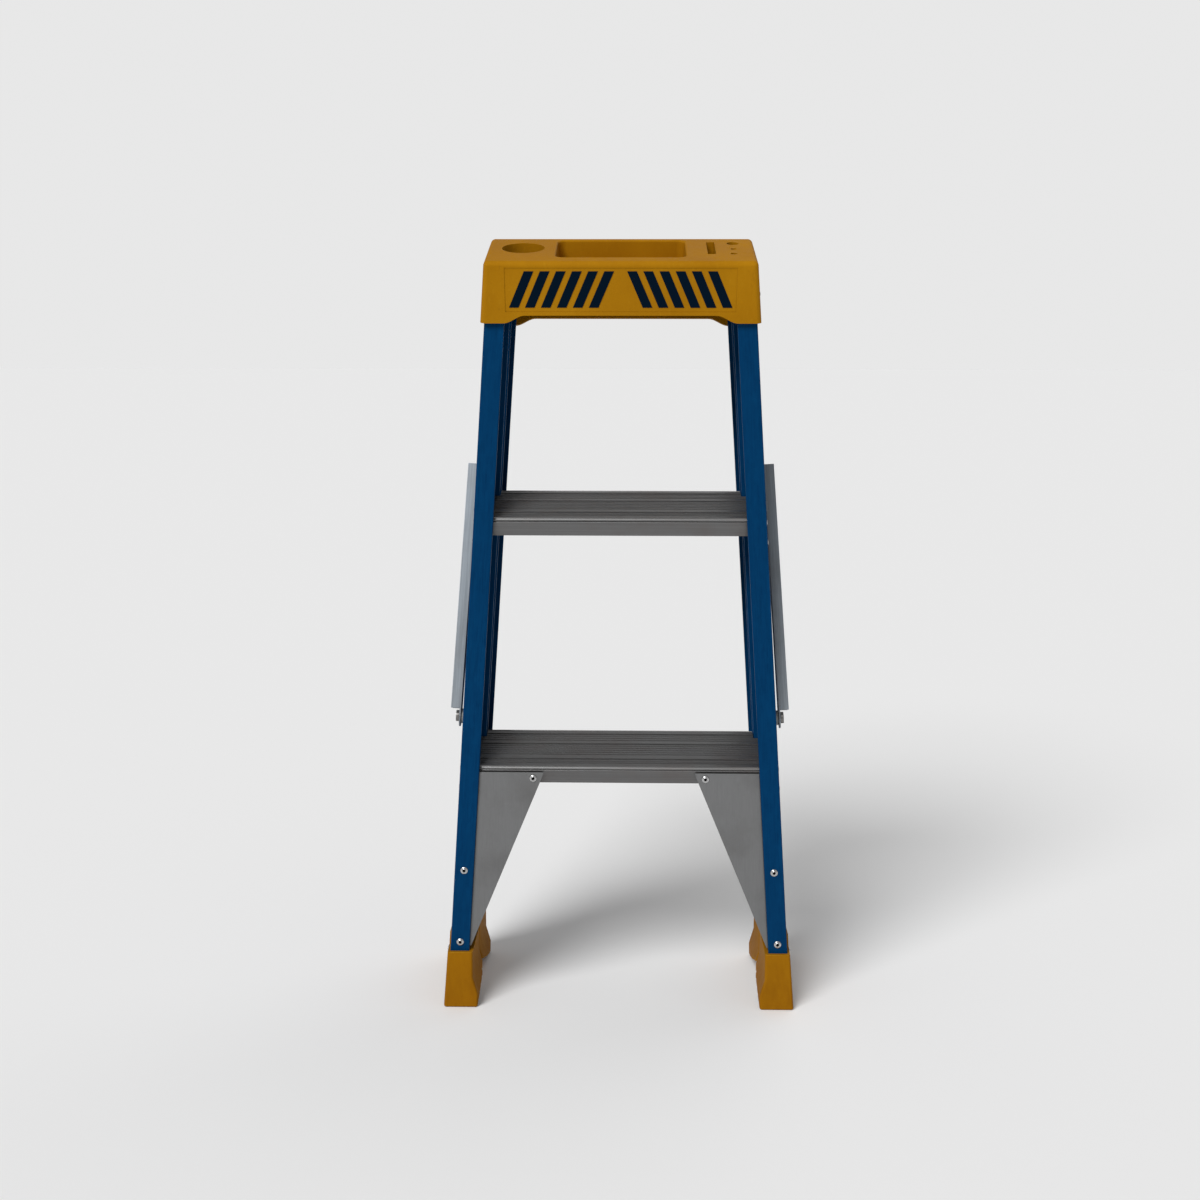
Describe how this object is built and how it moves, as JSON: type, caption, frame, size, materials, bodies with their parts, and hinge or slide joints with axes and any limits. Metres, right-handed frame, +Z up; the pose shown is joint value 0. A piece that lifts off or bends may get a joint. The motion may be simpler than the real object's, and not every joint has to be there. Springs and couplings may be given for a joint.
{
  "type": "step ladder",
  "caption": "Folding double-sided step ladder with splayed fibreglass stiles, ribbed metal treads, a split tool-tray cap, knee braces, boot feet and folding spreader arms.",
  "frame": {"origin": "centre of the bounding box's base: the ground under the folded ladder", "axes": "+Z up, +X to the right seen from the front, +Y from the front frame to the rear frame"},
  "size_m": [0.4352, 0.2382, 0.9407],
  "materials": {
    "blue_fibreglass": "pultruded fibreglass, satin",
    "yellow_plastic": "moulded, fine grain",
    "navy_marking": "printed",
    "ribbed_aluminium": "extruded, mill finish",
    "sheet_aluminium": "rolled sheet, mill finish",
    "spreader_aluminium": "drawn, mill finish",
    "rivet_metal": "bright",
    "zinc_steel": "zinc plated",
    "nylon": "moulded"
  },
  "bodies": {
    "front_frame": {"front_left_stile": "blue_fibreglass", "front_right_stile": "blue_fibreglass", "front_upper_tread": "ribbed_aluminium", "front_lower_tread": "ribbed_aluminium", "front_cap": "yellow_plastic", "front_tray": "yellow_plastic", "front_holder": "yellow_plastic", "front_tool_plate": "yellow_plastic", "front_cap_label": "navy_marking", "front_cap_screws": "rivet_metal", "front_left_brace": "sheet_aluminium", "front_right_brace": "sheet_aluminium", "front_brace_rivets": "rivet_metal", "front_tread_brackets": "zinc_steel", "front_tread_rivets": "rivet_metal", "front_left_foot": "yellow_plastic", "front_right_foot": "yellow_plastic", "front_foot_rivets": "rivet_metal", "front_left_hinge_plate": "zinc_steel", "front_right_hinge_plate": "zinc_steel", "front_hinge_rivets": "zinc_steel", "front_arm_bolts": "zinc_steel", "front_arm_spacers": "nylon", "front_arm_nuts": "zinc_steel", "left_hinge_bolt": "zinc_steel", "right_hinge_bolt": "zinc_steel", "hinge_nuts": "zinc_steel"},
    "rear_frame": {"rear_left_stile": "blue_fibreglass", "rear_right_stile": "blue_fibreglass", "rear_upper_tread": "ribbed_aluminium", "rear_lower_tread": "ribbed_aluminium", "rear_cap": "yellow_plastic", "rear_tray": "yellow_plastic", "rear_holder": "yellow_plastic", "rear_tool_plate": "yellow_plastic", "rear_cap_label": "navy_marking", "rear_cap_screws": "rivet_metal", "rear_left_brace": "sheet_aluminium", "rear_right_brace": "sheet_aluminium", "rear_brace_rivets": "rivet_metal", "rear_tread_brackets": "zinc_steel", "rear_tread_rivets": "rivet_metal", "rear_left_foot": "yellow_plastic", "rear_right_foot": "yellow_plastic", "rear_foot_rivets": "rivet_metal", "rear_left_hinge_plate": "zinc_steel", "rear_right_hinge_plate": "zinc_steel", "rear_hinge_rivets": "zinc_steel", "rear_arm_bolts": "zinc_steel", "rear_arm_washers": "nylon", "rear_arm_nuts": "zinc_steel"},
    "front_left_spreader": {"front_left_arm": "spreader_aluminium", "left_joint_rivet": "zinc_steel"},
    "front_right_spreader": {"front_right_arm": "spreader_aluminium", "right_joint_rivet": "zinc_steel"},
    "rear_left_spreader": {"rear_left_arm": "spreader_aluminium", "left_joint_stub": "zinc_steel"},
    "rear_right_spreader": {"rear_right_arm": "spreader_aluminium", "right_joint_stub": "zinc_steel"}
  },
  "joints": [
    {"name": "rear_fold", "type": "hinge", "parent": "front_frame", "child": "rear_frame", "pos_m": [0, 0, 0.90732], "axis": [1, 0, 0], "range_deg": [0, 32.9]},
    {"name": "front_left_arm_swing", "type": "hinge", "parent": "front_frame", "child": "front_left_spreader", "pos_m": [-0.1899, -0.05041, 0.362], "axis": [0.9979, 0.0185, -0.0627], "range_deg": [-61.49, 0.3]},
    {"name": "rear_left_arm_swing", "type": "hinge", "parent": "rear_frame", "child": "rear_left_spreader", "pos_m": [-0.1899, 0.05041, 0.362], "axis": [0.9979, -0.0185, -0.0627], "range_deg": [-0.3, 61.49]},
    {"name": "front_right_arm_swing", "type": "hinge", "parent": "front_frame", "child": "front_right_spreader", "pos_m": [0.1899, -0.05041, 0.362], "axis": [0.9979, -0.0185, 0.0627], "range_deg": [-61.49, 0.3]},
    {"name": "rear_right_arm_swing", "type": "hinge", "parent": "rear_frame", "child": "rear_right_spreader", "pos_m": [0.1899, 0.05041, 0.362], "axis": [0.9979, 0.0185, 0.0627], "range_deg": [-0.3, 61.49]}
  ],
  "couplings": [
    {"joint": "front_left_arm_swing", "follows": "rear_fold", "ratio": -1.86},
    {"joint": "rear_left_arm_swing", "follows": "rear_fold", "ratio": 1.86},
    {"joint": "front_right_arm_swing", "follows": "rear_fold", "ratio": -1.86},
    {"joint": "rear_right_arm_swing", "follows": "rear_fold", "ratio": 1.86}
  ]
}
